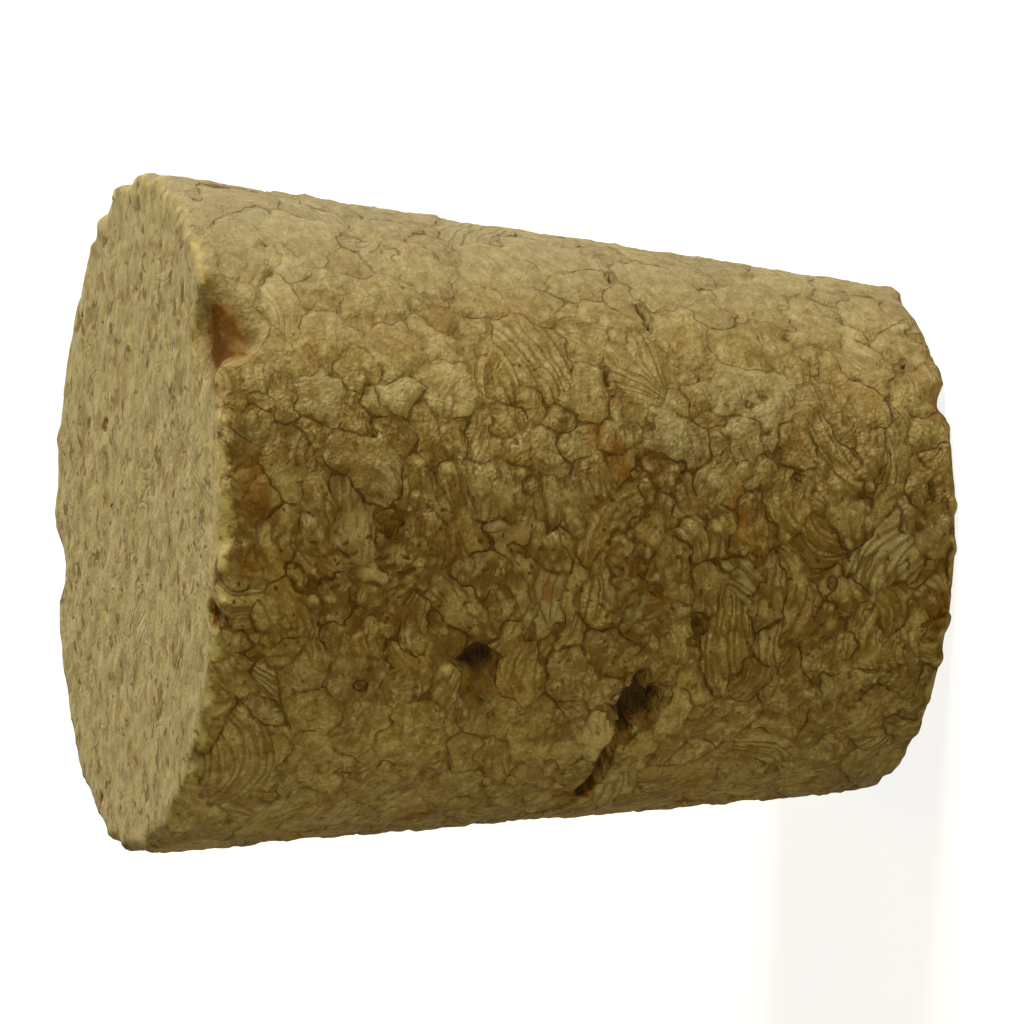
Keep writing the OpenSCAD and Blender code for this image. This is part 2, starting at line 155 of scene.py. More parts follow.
# --- Pits and slits: angle, height, long, wide, deep, lean ---
PITS = [
    (-90, 24.1, 1.4, 1, 0.6, 30), (-60, 14.7, 1.4, 0.35, 0.6, 10), (-42, 12.4, 1.3, 0.5, 0.6, 10),
    (-46, 12.45, 0.7, 0.3, 0.4, 0), (-108.7, 10.85, 1, 0.6, 0.65, 20),
    (-112, 11.1, 0.35, 0.25, 0.4, 0), (-128.8, 4.55, 0.5, 0.5, 0.6, 60),
    (-126, 3.4, 0.6, 0.4, 0.4, 0), (-131.7, 28, 1.2, 0.35, 0.5, 0), (15, 24.8, 1.6, 1.1, 0.8, 20),
    (85, 24.2, 0.9, 0.7, 0.5, 0), (150, 22.9, 1.3, 0.9, 0.7, 80), (160, 7.75, 1.1, 0.8, 0.6, 40),
    (30, 7.45, 1.2, 0.6, 0.5, 60), (-30.5, 13.3, 0.9, 0.4, 0.5, 5),
    (-127.8, 19, 0.9, 0.35, 0.5, 25), (-43, 6.35, 0.8, 0.35, 0.6, 150),
    (-52.8, 20.7, 0.3, 0.3, 0.45, 0), (-45.3, 21.6, 0.25, 1.7, 0.2, 0),
    (-50.7, 12.95, 0.3, 0.8, 0.3, 0), (-75.2, 12.9, 0.3, 0.7, 0.4, 0),
    (-74.9, 24.7, 0.25, 0.8, 0.4, 0), (-47.5, 1.6, 0.6, 0.35, 0.4, 150),
    (-51.8, 1.8, 0.3, 0.25, 0.35, 0), (-35.7, 3.7, 0.6, 0.35, 0.45, 150),
    (-23, 2.9, 1.3, 0.18, 0.4, 165), (-81.4, 0.55, 0.5, 0.35, 0.45, 0),
    (-78.6, 1.2, 0.8, 0.25, 0.35, 10), (-86.3, 1.6, 0.6, 0.5, 0.3, 0),
    (-99.3, 5.35, 0.7, 0.3, 0.5, 10), (-97.3, 8.5, 0.2, 0.9, 0.3, 170),
    (-97.8, 9.55, 0.4, 0.3, 0.4, 0), (-135.3, 9.8, 0.45, 0.3, 0.5, 50),
    (-128.6, 9.6, 0.8, 0.18, 0.35, 20), (-141.4, 11.5, 0.4, 0.25, 0.4, 0),
    (-118.7, 7.35, 0.7, 0.25, 0.35, 30), (-72.8, 7.7, 0.35, 0.4, 0.4, 40),
    (-78.5, 7, 0.7, 0.35, 0.35, 160), (-77.5, 5.5, 0.3, 0.6, 0.35, 0),
    (-110.5, 18, 0.3, 0.6, 0.35, 0), (-99.4, 23.75, 0.35, 0.3, 0.4, 0),
    (-98.4, 23.2, 0.3, 0.3, 0.35, 0), (-119.7, 24.7, 0.5, 0.4, 0.35, 40),
    (-122.6, 22, 0.3, 0.7, 0.35, 0), (-139.8, 24.4, 0.5, 0.9, 0.35, 0),
    (-157, 24.6, 0.4, 0.4, 0.4, 0), (-138.9, 30.6, 0.5, 0.3, 0.4, 0),
    (-144.3, 30.1, 0.7, 0.25, 0.4, 0), (-60.7, 8, 0.3, 0.3, 0.3, 0),
    (-61.6, 9.5, 0.3, 0.25, 0.25, 0), (-62.6, 8.75, 0.4, 0.25, 0.25, 0),
    (-55.9, 9.85, 0.5, 0.2, 0.35, 0), (-53.5, 28.6, 0.7, 0.2, 0.35, 0),
    (-36, 27.9, 0.35, 0.3, 0.35, 0), (-124.8, 14.1, 0.3, 0.3, 0.5, 0),
    (-154.5, 14.5, 0.9, 0.5, 0.35, 0), (-86.5, 10.8, 0.3, 0.9, 0.3, 10),
    (-59.5, 17.7, 0.6, 0.2, 0.2, 29), (-59.2, 18.5, 0.25, 0.3, 0.25, 0),
    (-61.6, 19.1, 0.2, 0.4, 0.25, 0), (-106.7, 12.2, 0.6, 0.6, 0.35, 30),
    (-101.2, 13, 0.25, 0.6, 0.3, 0), (-94, 13.7, 0.3, 0.3, 0.35, 0), (-97, 13.6, 0.6, 0.5, 0.25, 0),
    (-94.3, 18.8, 0.4, 0.9, 0.25, 150), (-109, 1.1, 0.3, 0.2, 0.3, 0),
    (-105.8, 0.75, 0.6, 0.5, 0.3, 0), (-84.5, 22, 0.3, 0.3, 0.35, 0),
    (-56.3, 9.8, 0.4, 0.2, 0.35, 150), (-75.7, 5.6, 0.3, 0.5, 0.3, 40),
]

# --- Pits placed at random: on each flat end their count, reach, end, longest and widest; and
# --- their count on the back of the side, which the photo doesn't show ---
END_PITS = ((26, 12.4, 1, 1.3, 0.4), (16, 8.4, -1, 1.2, 0.5))
BACK_PITS = 90
BACK_STAINS = 34

# --- Broken rims: angle, height, long round the axis, wide down the side, deep, reach over the
# --- rim's edge into the face ---
CHIPS = [
    (-56.2, 31, 4.7, 4.6, 1.1, 1.9), (-107, 31, 1.2, 1, 0.5, 0.8), (100, 31, 3, 2, 0.5, 1.2),
    (-57, 0, 1.8, 1.6, 0.4, 1), (170, 0, 2.6, 2.4, 0.5, 1.2),
]

# --- Rust-brown stains: angle, height, long, wide, strength; the strongest also paint shade ---
STAINS_AND_SHADE = [
    (-83.9, 9.5, 2.2, 0.8, 0.9), (-90.5, 8.9, 1.2, 1, 0.7), (-76.6, 14.5, 1.4, 1, 1),
    (-72, 15.6, 1.2, 1, 0.8), (-101.5, 17.4, 0.9, 0.6, 1), (-108.5, 16.8, 0.6, 0.3, 1),
    (-103.5, 12.6, 1.6, 0.8, 0.9), (-96, 13.6, 1, 0.7, 0.7), (-59, 0.5, 1.3, 0.5, 0.9),
    (-83.8, 29.6, 2.6, 1.3, 0.7), (-105.5, 0.6, 1.2, 1, 1), (-92, 21.2, 1.3, 0.3, 1),
    (-107, 23.5, 0.8, 0.6, 0.8), (-49.5, 21.4, 1.2, 1, 0.6), (-98, 29.8, 0.8, 0.8, 0.7),
    (-97, 27, 0.7, 0.7, 0.6), (-86, 3, 0.9, 0.7, 0.6), (-155, 14.4, 1.2, 0.9, 0.9),
    (-119.5, 18.4, 2.4, 1.8, 0.5), (-51.5, 1.3, 0.7, 0.6, 0.6), (-73.5, 1.6, 0.8, 0.6, 0.6),
    # The big chip's row paints the shadow under its rim as a dark streak; the rows of 2.4 paint shade along
    # the crack.
    (-57.2, 31.2, 3.6, 1.5, 1.55), (-107, 31.1, 0.8, 0.7, 1.5), (-148, 13.5, 3, 0.45, 2.4),
    (-154, 13.75, 1.8, 0.5, 2.4), (-155, 14.5, 0.6, 0.7, 1.1), (-136, 13.2, 1.2, 0.2, 1.2),
    (-64.5, 14.8, 0.5, 0.8, 0.6), (-36.8, 8.5, 0.4, 0.7, 0.6),
]


def lattice(count, seed):
    return np.random.default_rng(seed).random(count)


def ripples(points, wave, seed, waves=18):
    """Smooth noise of about unit size: plane waves of nearly one length, in every direction."""
    rng = np.random.default_rng(seed)
    ways = rng.normal(size=(waves, 3))
    ways /= np.linalg.norm(ways, axis=1)[:, None]
    ways *= (2 * math.pi / wave) * rng.uniform(0.65, 1.5, waves)[:, None]
    turns = rng.uniform(0, 2 * math.pi, waves)
    return np.sin(points @ ways.T + turns).sum(1) * math.sqrt(2.0 / waves)


def smooth(x):
    x = np.clip(x, 0, 1)
    return x * x * (3 - 2 * x)


# --- The skin: where every point of the net lies before the granules shape it ---
def taper(z):
    return NARROW_R + (WIDE_R - NARROW_R) * z / LENGTH


def rim_cut(z):
    """How much the rounded rims take off the radius at a height."""
    low = np.clip(NARROW_RIM - z, 0, NARROW_RIM)
    high = np.clip(z - (LENGTH - WIDE_RIM), 0, WIDE_RIM)
    return (NARROW_RIM - np.sqrt(NARROW_RIM ** 2 - low ** 2)
            + WIDE_RIM - np.sqrt(WIDE_RIM ** 2 - high ** 2))


def profile():
    """The side's section: radius, height and outward direction, from narrow face to wide face."""
    rows = []
    bends = round(NARROW_RIM * math.pi / 2 / STEP)
    for k in range(bends):
        turn = math.pi / 2 * k / bends
        z = NARROW_RIM * (1 - math.cos(turn))
        rows.append((taper(z) - NARROW_RIM * (1 - math.sin(turn)), z, math.sin(turn), -math.cos(turn)))
    straight = LENGTH - NARROW_RIM - WIDE_RIM
    steps = round(straight / STEP)
    for k in range(steps + 1):
        z = NARROW_RIM + straight * k / steps
        rows.append((taper(z), z, *SIDE_OUT))
    bends = round(WIDE_RIM * math.pi / 2 / STEP)
    for k in range(1, bends + 1):
        turn = math.pi / 2 * k / bends
        z = LENGTH - WIDE_RIM * (1 - math.sin(turn))
        rows.append((taper(z) - WIDE_RIM * (1 - math.cos(turn)), z, math.cos(turn), math.sin(turn)))
    return np.array(rows)


def side_net():
    """The side: rows of points, every other one turned by half a step, and their faces."""
    rows = profile()
    points, outs, faces = [], [], []
    for i, (r, z, nr, nz) in enumerate(rows):
        turn = 2 * math.pi * (np.arange(AROUND) + 0.5 * (i % 2)) / AROUND
        c, s = np.cos(turn), np.sin(turn)
        points.append(np.stack([r * c, r * s, np.full(AROUND, z)], 1))
        outs.append(np.stack([nr * c, nr * s, np.full(AROUND, nz)], 1))
    here = np.arange(AROUND)
    after = (here + 1) % AROUND
    for i in range(len(rows) - 1):
        low, high = i * AROUND, (i + 1) * AROUND
        if i % 2 == 0:
            faces.append(np.stack([low + here, low + after, high + here], 1))
            faces.append(np.stack([high + here, low + after, high + after], 1))
        else:
            faces.append(np.stack([low + here, high + after, high + here], 1))
            faces.append(np.stack([low + here, low + after, high + after], 1))
    return np.concatenate(points), np.concatenate(outs), np.concatenate(faces), len(rows)


def face_net(ring, first, height, up):
    """A flat end: a field of points inside its ring. Returns new points, outward ways, faces."""
    edge_r = np.linalg.norm(ring[0, :2])
    span = int(edge_r / FACE_STEP) + 2
    grid = [(FACE_STEP * (i + 0.5 * (j % 2)), FACE_STEP * FACE_ROW * j)
            for j in range(-span - 6, span + 7) for i in range(-span, span + 1)]
    grid = np.array(grid)
    grid = grid[np.linalg.norm(grid, axis=1) < edge_r - FACE_GAP * FACE_STEP]
    flat = [Vector(p) for p in np.concatenate([ring[:, :2], grid]).tolist()]
    result = delaunay_2d_cdt(flat, [], [], 0, 1e-7, True)
    origin = [o[0] for o in result[3]]
    faces = np.array([[origin[v] for v in f] for f in result[2]])
    index = np.concatenate([first[0] + np.arange(len(ring)), first[1] + np.arange(len(grid))])
    faces = index[faces]
    if up < 0:
        faces = faces[:, ::-1]
    points = np.column_stack([grid, np.full(len(grid), height)])
    outs = np.tile([0.0, 0.0, float(up)], (len(grid), 1))
    return points, outs, faces


def skin():
    """The whole net, closed: its points, their outward ways and its faces."""
    points, outs, faces, rows = side_net()
    narrow = face_net(points[:AROUND], (0, len(points)), 0.0, -1)
    start = (rows - 1) * AROUND
    wide = face_net(points[start:start + AROUND], (start, len(points) + len(narrow[0])), LENGTH, 1)
    return (np.concatenate([points, narrow[0], wide[0]]),
            np.concatenate([outs, narrow[1], wide[1]]),
            np.concatenate([faces, narrow[2], wide[2]]))


# --- Places on the skin ---
def side_spot(angle, z):
    """A point of the side, and its directions: round the axis, along it, outward."""
    a = math.radians(angle)
    z = float(np.clip(z, 0, LENGTH))
    r = float(taper(z) - rim_cut(np.float64(z)))
    low = max(0.0, NARROW_RIM - z) / NARROW_RIM
    high = max(0.0, z - (LENGTH - WIDE_RIM)) / WIDE_RIM
    lift = -low if low > 0 else (high if high > 0 else SIDE_OUT[1])
    lift = float(np.clip(lift, -0.985, 0.985))
    flat = math.sqrt(1 - lift * lift)
    out = np.array([flat * math.cos(a), flat * math.sin(a), lift])
    around = np.array([-math.sin(a), math.cos(a), 0.0])
    return np.array([r * math.cos(a), r * math.sin(a), z]), around, np.cross(out, around), out


def face_spot(angle, radius, up):
    """A point of a flat end, and its directions."""
    a = math.radians(angle)
    out = np.array([0.0, 0.0, float(up)])
    around = np.array([-math.sin(a), math.cos(a), 0.0])
    place = np.array([radius * math.cos(a), radius * math.sin(a), LENGTH if up > 0 else 0.0])
    return place, around, np.cross(out, around), out


class Cells:
    """Stretched cells of the skin: a point belongs to the one it is nearest to, in its own measure."""

    def __init__(self):
        self.place, self.axes, self.size, self.looks = [], [], [], []

    def add(self, spot, long, wide, thick, lean, looks):
        place, around, along, out = spot
        c, s = math.cos(math.radians(lean)), math.sin(math.radians(lean))
        self.place.append(place)
        self.axes.append(np.stack([c * around + s * along, -s * around + c * along, out]))
        self.size.append((long / 2, wide / 2, thick / 2))
        self.looks.append(looks)

    def close(self):
        self.place, self.axes = np.array(self.place), np.array(self.axes)
        self.size, self.looks = np.array(self.size), np.array(self.looks, float)

    def squares(self, points):
        """Square of each point's distance from each cell's middle, 1 at the cell's own outline."""
        total = 0
        for k in range(3):
            way = self.axes[:, k] / self.size[:, k, None]
            shift = (way * self.place).sum(1).astype(np.float32)
            away = points.astype(np.float32) @ way.T.astype(np.float32)
            away -= shift
            away *= away
            total = total + away
        return total

    def nearest(self, points, chunk=8000):
        found = [self.squares(points[i:i + chunk]).argmin(1) for i in range(0, len(points), chunk)]
        return np.concatenate(found)

    def local(self, points, which):
        """Each point in the directions of one cell, in mm from its middle."""
        away = points - self.place[which]
        return np.einsum("nij,nj->ni", self.axes[which], away)


def random_looks(rng):
    """Stripes, light, grey, lift and form of a granule that isn't listed."""
    stripes = rng.choice([0.0, 0.2, 0.4, 0.7, 1.0], p=[0.2, 0.3, 0.25, 0.15, 0.1])
    form = rng.choice([0, 1, 2], p=[1.0, 0.0, 0.0])
    grey = max(0.0, rng.normal(0.0, 0.3))
    return stripes, rng.normal(0.1, 0.3), min(grey, 1.0), rng.normal(0.0, 0.035), form


def scatter(cells, rng, size, tries, share):
    """Fills gaps between the cells with more of about one half size."""
    places = list(cells.place)
    reach = [math.sqrt(s[0] * s[1]) for s in cells.size]
    for _ in range(tries):
        angle = rng.uniform(-180, 180)
        if rng.random() < SIDE_SHARE:
            z = rng.uniform(0.1, LENGTH - 0.1)
            if rng.random() > taper(z) / WIDE_R:
                continue
            spot = side_spot(angle, z)
        else:
            up = 1 if rng.random() < WIDE_SHARE else -1
            edge = WIDE_R - WIDE_RIM if up > 0 else NARROW_R - NARROW_RIM
            spot = face_spot(angle, (edge - 0.1) * math.sqrt(rng.random()), up)
        mean = size * rng.uniform(0.85, 1.2)
        gaps = np.linalg.norm(np.array(places) - spot[0], axis=1) - np.array(reach)
        if gaps.min() < mean * CLOSEST or rng.random() > share:
            continue
        stretch = rng.uniform(1.0, 1.45)
        lean = rng.normal(*SIDE_LEAN) if abs(spot[3][2]) < 0.5 else rng.uniform(0, 180)
        cells.add(spot, 2 * mean * stretch, 2 * mean / stretch, 2 * mean, lean, random_looks(rng))
        places.append(spot[0])
        reach.append(mean)


def granule_cells():
    """The granules listed, and smaller and smaller ones between them."""
    cells = Cells()
    for angle, z, long, wide, lean, *looks in GRANULES:
        looks = (looks + [0])[:5]
        cells.add(side_spot(angle, z), long, wide, math.sqrt(long * wide), lean, looks)
    rng = np.random.default_rng(21)
    for size, tries, share in FILLS:
        scatter(cells, rng, size, tries, share)
    cells.close()
    return cells


def chip_cells():
    """Breaks of the rims. They dent the rim one way, so their cells keep that way with them."""
    cells = Cells()
    for angle, z, long, wide, deep, reach in CHIPS:
        place, around, along, out = side_spot(angle, z)
        flat = np.array([out[0], out[1], 0.0])
        flat /= np.linalg.norm(flat)
        up = 1.0 if z > LENGTH / 2 else -1.0
        way = flat * 0.75 + np.array([0.0, 0.0, 0.66 * up])
        spot = (place, around, np.array([0.0, 0.0, 1.0]), flat)
        cells.add(spot, long, wide, 2 * reach, 0, (deep, *way))
    cells.close()
    return cells


def hole_cells():
    """The holes. Their looks are depth in mm, share of the hole that its walls take, roughness."""
    cells = Cells()
    for angle, z, long, wide, deep, lean in VOIDS:
        cells.add(side_spot(angle, z), long, wide, 6.0, lean, (deep, 0.30, 0.12))
    for angle, z, long, wide, deep, lean in PITS:
        cells.add(side_spot(angle, z), long, wide, 3.0, lean, (deep, 0.55, 0.03))
    rng = np.random.default_rng(5)
    for count, reach, up, longest, widest in END_PITS:
        for _ in range(count):
            spot = face_spot(rng.uniform(-180, 180), reach * math.sqrt(rng.random()), up)
            cells.add(spot, rng.uniform(0.5, longest), rng.uniform(0.2, widest), 2.0,
                      rng.uniform(0, 180), (0.3, 0.6, 0.0))
    for _ in range(BACK_PITS):
        spot = side_spot(rng.uniform(-5, 190), rng.uniform(1, 30))
        cells.add(spot, rng.uniform(0.4, 1.1), rng.uniform(0.2, 0.4), 2.0, rng.normal(*SIDE_LEAN),
                  (0.4, 0.55, 0.0))
    cells.close()
    return cells


class Cork:
    """Asks, of any points of the skin, which granule they are in and how deep a hole there is."""

    def __init__(self):
        self.granules = granule_cells()
        self.holes = hole_cells()
        self.chips = chip_cells()

    def bent(self, points):
        """Points moved by smooth noise, so that granules' outlines wander."""
        moved = points.copy()
        (broad, broad_wave), (fine, fine_wave) = BENDS
        for k in range(3):
            moved[:, k] += (broad * ripples(points, broad_wave, 40 + k)
                            + fine * ripples(points, fine_wave, 50 + k))
        return moved

    def home(self, points):
        """The granule that each point is in."""
        return self.granules.nearest(self.bent(points))

    def hole(self, points, chunk=20000):
        """Each point's place in a hole (1 = on its outline), its depth and its floor's roughness."""
        near, deep = np.full(len(points), 9.0), np.zeros(len(points))
        coarse = np.zeros(len(points))
        rough = 0.13 * ripples(points, 1.1, 60) + 0.09 * ripples(points, 0.5, 61)
        depths, walls, floors = self.holes.looks.T
        for i in range(0, len(points), chunk):
            part = slice(i, i + chunk)
            away = np.sqrt(self.holes.squares(points[part])) + rough[part, None]
            near[part] = away.min(1)
            depth = depths * smooth((1 - away) / walls)
            best = depth.argmax(1)
            deep[part] = depth[np.arange(len(best)), best]
            coarse[part] = floors[best]
        return near, deep, coarse

    def broken(self, points):
        """Each point's move in a broken rim, its depth, and its place there (1 = the outline)."""
        looks = self.chips.looks
        away = np.sqrt(self.chips.squares(points)) + 0.06 * ripples(points, 2.6, 62)[:, None]
        depth = looks[:, 0] * np.clip(1 - away * away, 0, 1)
        return -(depth @ looks[:, 1:4]), depth.max(1), away.min(1)

    def region(self, points):
        """The granule of each point, or -1 in a hole and -2 in a broken rim."""
        near, chip = self.hole(points)[0], self.broken(points)[2]
        return np.where(near < 1, -1, np.where(chip < 1, -2, self.home(points)))


def edges_of(faces):
    pairs = np.concatenate([faces[:, [0, 1]], faces[:, [1, 2]], faces[:, [2, 0]]])
    return np.unique(np.sort(pairs, axis=1), axis=0)


def snap(points, faces, cork):
    """Moves the net's points that are nearest to a granule's outline onto it, and marks them."""
    region = cork.region(points)
    edges = edges_of(faces)
    edges = edges[region[edges[:, 0]] != region[edges[:, 1]]]
    start, end = points[edges[:, 0]], points[edges[:, 1]]
    own = region[edges[:, 0]]
    low, high = np.zeros(len(edges)), np.ones(len(edges))
    for _ in range(4):
        middle = (low + high) / 2
        same = cork.region(start + (end - start) * middle[:, None]) == own
        low, high = np.where(same, middle, low), np.where(same, high, middle)
    where = (low + high) / 2
    first = where < 0.5
    mover = np.where(first, edges[:, 0], edges[:, 1])
    target = start + (end - start) * where[:, None]
    step = np.linalg.norm(target - points[mover], axis=1)
    order = np.argsort(-step)
    moved, on_line = points.copy(), np.zeros(len(points), bool)
    moved[mover[order]] = target[order]
    on_line[mover] = True
    return moved, on_line


def face_homes(points, faces, home, on_line, cork):
    """The granule of each face: that of a corner off the outlines, or of its middle."""
    found = np.full(len(faces), -1)
    for k in (2, 1, 0):
        free = ~on_line[faces[:, k]]
        found[free] = home[faces[free, k]]
    lost = found < 0
    if lost.any():
        found[lost] = cork.home(points[faces[lost]].mean(1))
    return found


def to_corners(values):
    """Values of the faces, as values at their corners."""
    return np.repeat(values, 3, axis=0)


def to_points(values, faces, count):
    """Means at the points of values at the faces' corners."""
    flat = faces.reshape(-1)
    total = np.bincount(flat, weights=values, minlength=count)
    return total / np.maximum(np.bincount(flat, minlength=count), 1)


def distance_to(marks, points, cap):
    """Distance of each point from the nearest mark, up to a cap."""
    tree = KDTree(len(marks))
    for i, p in enumerate(marks.tolist()):
        tree.insert(p, i)
    tree.balance()
    return np.array([min(cap, tree.find(p)[2]) for p in points.tolist()])


def outline_marks(points, edges, on_line):
    """The outlines' points, and points between them."""
    both = edges[on_line[edges[:, 0]] & on_line[edges[:, 1]]]
    a, b = points[both[:, 0]], points[both[:, 1]]
    return np.concatenate([points[on_line], a * 0.67 + b * 0.33, a * 0.33 + b * 0.67])


def stain_and_shade_strength(points):
    """How rust-brown the skin is at each point; the strongest values also carry painted shadow at the big
    chip and painted shade along the crack.
    """
    cells = Cells()
    for angle, z, long, wide, strength in STAINS_AND_SHADE:
        cells.add(side_spot(angle, z), long * 1.2, wide * 1.2, 2.0, 0, (strength, 0))
    rng = np.random.default_rng(8)
    for _ in range(BACK_STAINS):
        spot = side_spot(rng.uniform(0, 185), rng.uniform(0.5, 30.5))
        cells.add(spot, rng.uniform(0.6, 2.2), rng.uniform(0.4, 1.1), 2.0, rng.normal(0, 30),
                  (rng.uniform(0.4, 1.0), 0))
    cells.close()
    away = np.sqrt(cells.squares(points)) + 0.25 * ripples(points, 0.9, 71)[:, None]
    return (cells.looks[:, 0] * smooth(1.35 - away)).max(1)


def grain_of(cells, points, which):
    """Coordinates in a granule: across its growth rings, along them, and a number of its own."""
    local = cells.local(points, which)
    a, b = local[:, 0], local[:, 1]
    half = cells.size[which]
    own = lattice(len(cells.place), 3)[which]
    bend = (own - 0.5) * 0.9
    across = b + bend * a * a / half[:, 0]
    form = cells.looks[which, 4]
    fan = np.clip(np.arctan2(b, a + 1.2 * half[:, 0]), -0.9, 0.9) * 2.1
    rings = np.hypot(a + 0.3 * half[:, 0], b)
    across = np.where(form == 1, fan, np.where(form == 2, rings, across))
    return np.stack([across + 7 * own, a + 5 * own, own * 40], 1)


def shaped(points, outs, faces, homes, holes, seam, on_line, cork):
    """Heights of the granules, their joints and the holes, put on the skin."""
    cells, count = cork.granules, len(points)
    near, deep, coarse = holes
    corner_points = points[faces.reshape(-1)]
    which = to_corners(homes)
    local = cells.local(corner_points, which)
    tilt = (lattice(len(cells.place) * 2, 4) - 0.5).reshape(-1, 2) * TILT
    own = cells.looks[which, 3] + (local[:, :2] * tilt[which]).sum(1)
    level = to_points(own, faces, count)
    smoothed = np.clip(cells.looks[which, 1] + cells.looks[which, 2], 0, 1)
    crumb = to_points(1 - 0.75 * smoothed, faces, count)
    joint = np.clip(0.5 + 0.45 * ripples(points, 2.6, 80), 0.05, 1.4)
    groove = np.where(on_line & (near > 0.98), GROOVE * joint, 0)
    swell = SWELL * smooth(seam / SWELL_REACH)
    rough = 0.024 * ripples(points, 1.0, 81) + 0.014 * ripples(points, 0.55, 82)
    flat_end = np.abs(outs[:, 2]) > 0.9
    calm = np.where(flat_end, END_CALM, 1.0)
    ends = (np.clip((LENGTH - points[:, 2]) / RIM_REACH, 0, 1)
            * np.clip(points[:, 2] / RIM_REACH, 0, 1))
    wear = sum(far * ripples(points, wave, seed) for (far, wave), seed in zip(WEAR, (83, 86)))
    wear *= (1 - ends) * np.where(flat_end, END_WEAR, 1)
    edge = 0.5 + 0.5 * ends
    height = calm * edge * (level + swell - groove + crumb * rough) + wear
    floor = coarse * (ripples(points, 0.7, 84) + 0.6 * ripples(points, 0.4, 85))
    dent, dent_deep, _ = cork.broken(points)
    height = height * (1 - 0.6 * smooth(dent_deep / 0.3)) - deep + floor * np.clip(deep, 0, 1)
    done = points + outs * height[:, None] + dent
    done[:, 2] *= 1 + SAW_SLOPE * done[:, 0] / LENGTH
    low = done[:, 2] < 0
    done[low, 2] = 0.0
    return done


def put(mesh, name, domain, values):
    """Stores numbers or vectors on the mesh for the material to read."""
    kind, field = ("FLOAT", "value") if values.ndim == 1 else ("FLOAT_VECTOR", "vector")
    layer = mesh.attributes.new(name, kind, domain)
    layer.data.foreach_set(field, np.ascontiguousarray(values, np.float32).reshape(-1))


def mesh_of(name, points, faces):
    """A smooth-shaded mesh in metres, of points in mm and triangles."""
    mesh = bpy.data.meshes.new(name)
    mesh.vertices.add(len(points))
    mesh.vertices.foreach_set("co", (points * 0.001).astype(np.float32).reshape(-1))
    mesh.loops.add(len(faces) * 3)
    mesh.loops.foreach_set("vertex_index", faces.astype(np.int32).reshape(-1))
    mesh.polygons.add(len(faces))
    mesh.polygons.foreach_set("loop_start", np.arange(0, len(faces) * 3, 3, dtype=np.int32))
    mesh.polygons.foreach_set("loop_total", np.full(len(faces), 3, dtype=np.int32))
    mesh.update(calc_edges=True)
    mesh.polygons.foreach_set("use_smooth", np.ones(len(faces), dtype=bool))
    return mesh


def stopper_mesh():
    cork = Cork()
    base, outs, faces = skin()
    points, on_line = snap(base, faces, cork)
    near, deep, coarse = cork.hole(points)
    home = cork.home(base)
    homes = face_homes(points, faces, home, on_line, cork)
    whole = (near > 0.97) & (cork.broken(points)[2] > 0.9)
    marks = outline_marks(points, edges_of(faces), on_line & whole)
    seam = distance_to(marks, points, 1.0)
    done = shaped(points, outs, faces, homes, (near, deep, coarse), seam, on_line, cork)

    mesh = mesh_of("cork_stopper", done, faces)
    which = to_corners(homes)
    torn = cork.broken(points)[1]
    sawn = smooth((np.abs(outs[:, 2]) - 0.35 + 0.2 * ripples(points, 0.8, 87)) / 0.5)
    put(mesh, "grain", "CORNER", grain_of(cork.granules, points[faces.reshape(-1)], which))
    put(mesh, "looks", "CORNER", cork.granules.looks[which, :3])
    put(mesh, "seam", "POINT", seam)
    put(mesh, "sunk", "POINT", np.maximum(deep, 0.42 * torn))
    put(mesh, "stain_and_shade", "POINT", stain_and_shade_strength(points))
    put(mesh, "sawn", "POINT", sawn * smooth(1 - torn / 0.15))
    return mesh


# --- Material ---
def paint(red, green, blue):
    """A colour written as 0..255 on a screen, for a shader."""
    return tuple(((c / 255 + 0.055) / 1.055) ** 2.4 if c > 10 else c / 255 / 12.92
                 for c in (red, green, blue)) + (1.0,)


